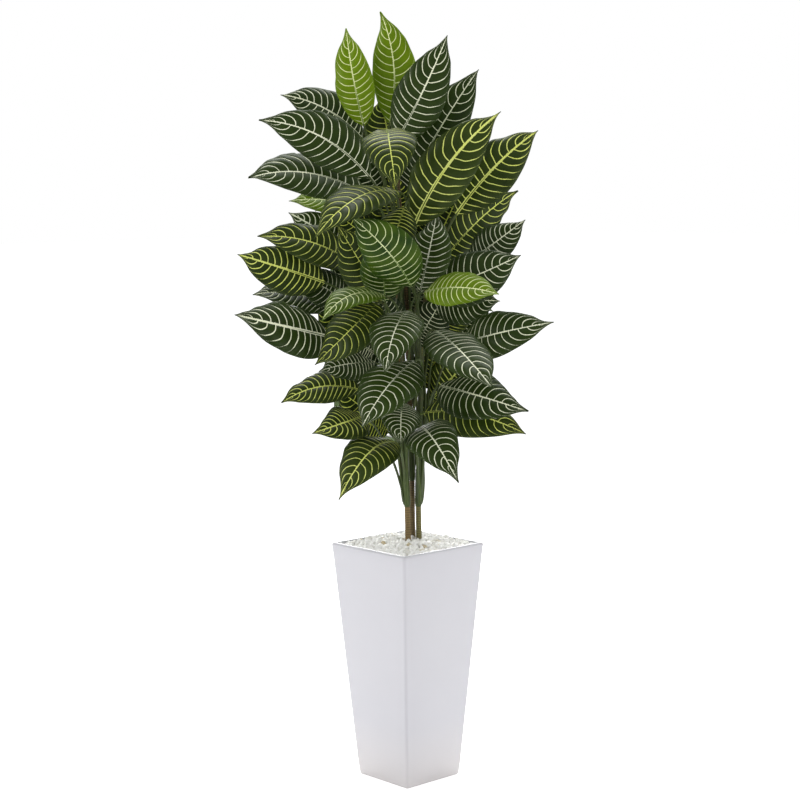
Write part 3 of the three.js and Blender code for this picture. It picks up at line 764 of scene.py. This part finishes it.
bladeTones = {
    # deep green cloth leaf with cream veins under a satin coat
    "white": {"title": "satin printed leaf, cream veins", "slot": "leaf_white", "sprays": 4,
              "dark": "#182805", "light": "#384b14", "vein": "#f6f9d0", "veinLight": "#fafce6",
              "groove": "#324a1a", "relief": 0.5, "roughness": 0.4},
    # the same leaf printed with yellow-green veins
    "yellow": {"title": "satin printed leaf, yellow veins", "slot": "leaf_yellow", "sprays": 3,
               "dark": "#192806", "light": "#3f4e14", "vein": "#e4ee62", "veinLight": "#e9ef98",
               "groove": "#3c5018", "relief": 0.5, "roughness": 0.4},
    # young light green leaf; at full lightness on the top leaves it also paints the light shining through them
    "bright": {"title": "satin printed leaf, light green", "slot": "leaf_bright", "sprays": 1,
               "dark": "#203a06", "light": "#6a8600", "vein": "#e4efb4", "veinLight": "#f2f8b4",
               "groove": "#4d6d16", "relief": 0.4, "roughness": 0.4},
}
# the back of every leaf: bare cloth, paler and duller, with the ribs pressed through
underTones = {"dark": "#3a4a2c", "light": "#60743f", "vein": "#65794a", "veinLight": "#8a9c5c",
              "groove": "#5b7036", "relief": 0.8, "roughness": 0.58}
underFinish = bladeFinish("matt leaf underside", veinLook, underTones)
sweepBlades = bladeTree(bladeLook["acrossSteps"])


def makeSpray(name, blades, topFinish, seed):
    points, edges, values = bladeLines(blades, bladeLook, seed)
    spray = newPiece(name, points, edges=edges, values=values)
    growPiece(spray, sweepBlades, {**bladeLook, "Finish": topFinish})
    facing = np.zeros(len(spray.data.polygons) * 3)
    spray.data.polygons.foreach_get("normal", facing)
    wanted = np.array([spray.data.attributes["face"].data[p.vertices[0]].vector for p in spray.data.polygons])
    if (facing.reshape(-1, 3) * wanted).sum() < 0:
        spray.data.flip_normals()
    spray.data.materials.append(underFinish)
    shell = spray.modifiers.new("thickness", "SOLIDIFY")
    shell.thickness = bladeLook["thickness"]
    shell.offset = 0
    shell.material_offset = 1
    return settle(spray)


grouped = {tone: [] for tone in bladeTones}
for caneName, cane in canes.items():
    for number, blade in enumerate(cane["leaves"], 1):
        grouped[blade["tone"]].append((blade, f"{caneName}_leaf_{number:02d}"))
    for blade in cane["innerLeaves"]:
        grouped[blade["tone"]].append((blade, None))
for tone, found in grouped.items():
    tones = bladeTones[tone]
    topFinish = bladeFinish(tones["title"], veinLook, tones)
    found.sort(key=lambda pair: pair[0]["base"][2])
    for turn in range(tones["sprays"]):  # dealt round, so that each spray spans the plant's height
        dealt = found[turn::tones["sprays"]]
        spray = makeSpray(f"{tone}Spray{turn + 1}", [b for b, n in dealt], topFinish, 40 + turn)
        finishPiece(spray, [n for b, n in dealt if n])


caneLook = {
    "radius": 5.3,
    "Sides": 14,
    "Step": 0.0011,
    "Ring Pitch": 0.0044,
    "Ring Depth": 0.035,
}
stalkLook = {
    "radius": 2.1,
    "hug": 1.6,
    "rise": 190,
    "longRise": 230,
    "Sides": 8,
    "Step": 0.006,
    "Ring Pitch": 0.031,
    "Ring Depth": 0.03,
}


def caneAt(cane, z):
    path = np.array(cane["path"], float)
    slope = np.gradient(path[:, :2], path[:, 2], axis=0)
    i = int(np.clip(np.searchsorted(path[:, 2], z) - 1, 0, len(path) - 2))
    gap = path[i + 1, 2] - path[i, 2]
    u = (z - path[i, 2]) / gap
    xy = ((2 * u ** 3 - 3 * u ** 2 + 1) * path[i, :2] + (u ** 3 - 2 * u ** 2 + u) * gap * slope[i]
          + (3 * u ** 2 - 2 * u ** 3) * path[i + 1, :2] + (u ** 3 - u ** 2) * gap * slope[i + 1])
    return np.array([xy[0], xy[1], z])


def stemTree(title):
    tree, given = startTree(title, {
        "Sides": "Int", "Step": "Float", "Ring Pitch": "Float", "Ring Depth": "Float", "Finish": "Material"})
    line = addNode(tree, "MeshToCurve", [given["Geometry"]])[0]
    line = addNode(tree, "ResampleCurve", {"Curve": line, "Length": given["Step"]}, mode="LENGTH")[0]
    run = addNode(tree, "SplineParameter")["Length"]
    line = addNode(tree, "StoreNamedAttribute", {"Geometry": line, "Name": "run", "Value": run},
                   data_type="FLOAT", domain="POINT")[0]
    phase = addNode(tree, "Math", [run, given["Ring Pitch"]], operation="DIVIDE")[0]
    phase = addNode(tree, "Math", [phase, 2 * math.pi], operation="MULTIPLY")[0]
    ring = addNode(tree, "Math", [phase], operation="SINE")[0]
    swell = addNode(tree, "Math", [ring, given["Ring Depth"], 1.0], operation="MULTIPLY_ADD")[0]
    radius = addNode(tree, "InputNamedAttribute", {"Name": "half"}, data_type="FLOAT")[0]
    scale = addNode(tree, "Math", [radius, swell], operation="MULTIPLY")[0]
    hoop = addNode(tree, "CurvePrimitiveCircle", {"Resolution": given["Sides"], "Radius": 1.0},
                   mode="RADIUS")[0]
    tube = addNode(tree, "CurveToMesh", {"Curve": line, "Profile Curve": hoop, "Scale": scale,
                                         "Fill Caps": True})[0]
    tube = addNode(tree, "SetShadeSmooth", {"Geometry": tube})[0]
    closeTree(tree, tube, given["Finish"])
    return tree


# painted cane: brown to olive from cane to cane, with darker rings and fine lengthwise scratches
def barkFinish():
    finish, tree = startFinish("painted ribbed cane bark")
    where = addNode(tree, "TexCoord")["Object"]
    bark, run = (addNode(tree, "Attribute", attribute_name=a)["Fac"] for a in ("light", "run"))
    ramp = addNode(tree, "ValToRGB", [bark])
    ramp[0].node.color_ramp.elements[0].color = hexColour("#7a6136")
    ramp[0].node.color_ramp.elements[1].color = hexColour("#6a6832")
    ramp[0].node.color_ramp.elements.new(0.5).color = hexColour("#54431f")
    phase = addNode(tree, "Math", [run, 2 * math.pi / caneLook["Ring Pitch"]], operation="MULTIPLY")[0]
    ring = addNode(tree, "Math", [addNode(tree, "Math", [phase], operation="SINE")[0], 0.5, 0.5],
                   operation="MULTIPLY_ADD")[0]
    dark = addNode(tree, "MapRange", {"Value": ring, "From Min": 0.35, "From Max": 0.0, "To Max": 0.55})[0]
    squeeze = addNode(tree, "Mapping", {"Vector": where, "Scale": (1.0, 1.0, 0.12)})[0]
    streak = addNode(tree, "TexNoise", {"Vector": squeeze, "Scale": 700.0, "Detail": 4.0})["Fac"]
    patch = addNode(tree, "MapRange", {
        "Value": streak, "From Min": 0.35, "From Max": 0.7, "To Max": 0.5})[0]
    colour = addNode(tree, "MixRGB", [patch, ramp[0], hexColour("#8a7a4c")])[0]
    colour = addNode(tree, "MixRGB", [dark, colour, hexColour("#2b2114")])[0]
    bump = addNode(tree, "Bump", {"Strength": 0.5, "Distance": 0.0005, "Height": streak})[0]
    closeFinish(tree, addNode(tree, "BsdfPrincipled", {
        "Base Color": colour, "Roughness": 0.62, "Normal": bump})[0])
    return finish


# moulded green stalks, olive to mid green from one to the next, streaked along their length
def stalkFinish():
    finish, tree = startFinish("moulded green stalk")
    where = addNode(tree, "TexCoord")["Object"]
    light = addNode(tree, "Attribute", attribute_name="light")["Fac"]
    ramp = addNode(tree, "ValToRGB", [light])
    ramp[0].node.color_ramp.elements[0].color = hexColour("#1a280a")
    ramp[0].node.color_ramp.elements[1].color = hexColour("#46591a")
    squeeze = addNode(tree, "Mapping", {"Vector": where, "Scale": (1.0, 1.0, 0.1)})[0]
    streak = addNode(tree, "TexNoise", {"Vector": squeeze, "Scale": 520.0, "Detail": 3.0})["Fac"]
    patch = addNode(tree, "MapRange", {
        "Value": streak, "From Min": 0.35, "From Max": 0.75, "To Max": 0.45})[0]
    colour = addNode(tree, "MixRGB", [patch, ramp[0], hexColour("#5c6a26")])[0]
    blotch = addNode(tree, "TexNoise", {"Vector": where, "Scale": 45.0, "Detail": 3.0})["Fac"]
    blotch = addNode(tree, "MapRange", {
        "Value": blotch, "From Min": 0.55, "From Max": 0.75, "To Max": 0.5})[0]
    colour = addNode(tree, "MixRGB", [blotch, colour, hexColour("#4a3d1e")])[0]
    bump = addNode(tree, "Bump", {"Strength": 0.35, "Distance": 0.0004, "Height": streak})[0]
    closeFinish(tree, addNode(tree, "BsdfPrincipled", {
        "Base Color": colour, "Roughness": 0.48, "Normal": bump, "IOR": 1.46})[0])
    return finish


def lineMesh(name, lines):  # each line: points in the plant's millimetres, radii, lightness
    points, edges, half, light = [], [], [], []
    for line, radii, tint in lines:
        first = len(points)
        points += list(line)
        half += [r * mm for r in radii]
        light += [tint] * len(line)
        edges += [(first + i, first + i + 1) for i in range(len(line) - 1)]
    return newPiece(name, place(points), edges=edges, values={"half": half, "light": light})


def stalkLine(cane, blade, look, rnd):
    base, bend, tip, face = midribOf(blade)
    out = unit(bend - base)
    top, collar = cane["path"][-1][2], cane["collar"]
    leave = min(max(base[2] - look["rise"], collar + 4), top - 4)
    middle = caneAt(cane, leave)
    aside = base[:2] - middle[:2]
    aside = unit(np.array([aside[0], aside[1], 0.0]) + 1e-6)
    foot = collar - 2 if leave < collar + look["longRise"] else leave - 45
    line = []
    for z in np.arange(foot, leave, 10):
        spread = caneLook["radius"] + 0.3 + look["hug"] * smooth(foot, foot + 40, z) + 0.022 * (z - foot)
        line.append(caneAt(cane, z) + aside * spread)
    start = middle + aside * (look["hug"] + caneLook["radius"] + 0.3 + 0.022 * (leave - foot))
    span = np.linalg.norm(base - start)
    pullUp = start + np.array([0.06 * span * aside[0], 0.06 * span * aside[1], 0.4 * span])
    pullIn = base - out * 0.3 * span
    for u in np.linspace(0, 1, 24):
        line.append(start * (1 - u) ** 3 + pullUp * 3 * u * (1 - u) ** 2 + pullIn * 3 * u * u * (1 - u)
                    + base * u ** 3)
    radii = list(np.interp(np.arange(len(line)), [0, 5, len(line) - 1],
                           [look["radius"] * 0.7, look["radius"] * 1.1, look["radius"] * 0.9]))
    for t in np.linspace(0.04, 0.9, 20):  # the stalk runs on under the blade as its rib
        way = unit((bend - base) * (1 - t) + (tip - bend) * t)
        up = unit(face - way * (face @ way))
        radius = look["radius"] * 0.8 * (1 - t) + 0.2
        line.append(base * (1 - t) ** 2 + bend * 2 * t * (1 - t) + tip * t * t - up * (radius * 0.9 + 0.1))
        radii.append(radius)
    return line, radii, rnd.uniform(0.15, 0.9)


bark, stalkGreen = barkFinish(), stalkFinish()
sweepCanes, sweepStalks = stemTree("sweepCanes"), stemTree("sweepStalks")
for caneName, cane in canes.items():
    rnd = random.Random(len(cane["leaves"]) + 3)
    top = cane["path"][-1][2]
    heights = np.linspace(cane["path"][0][2] + 3, top, 60)
    radii = np.interp(heights, [400, cane["collar"] + 100, top], [caneLook["radius"], 4.4, 2.6])
    wood = lineMesh(caneName + "Cane", [([caneAt(cane, z) for z in heights], radii, cane["bark"])])
    growPiece(wood, sweepCanes, {**caneLook, "Finish": bark})
    finishPiece(wood, ["stem_" + caneName])
    sleeve = np.linspace(cane["collar"] - 6, cane["collar"] + 60, 16)
    lines = [([caneAt(cane, z) for z in sleeve], np.interp(sleeve, [sleeve[0], sleeve[0] + 8, sleeve[-1]],
                                                           [5.3, 6.3, 5.2]), 0.45)]
    for blade in cane["leaves"] + cane["innerLeaves"]:
        lines.append(stalkLine(cane, blade, stalkLook, rnd))
    stalks = lineMesh(caneName + "Stalks", lines)
    growPiece(stalks, sweepStalks, {**stalkLook, "Finish": stalkGreen})
    finishPiece(stalks, ["stem_" + caneName])
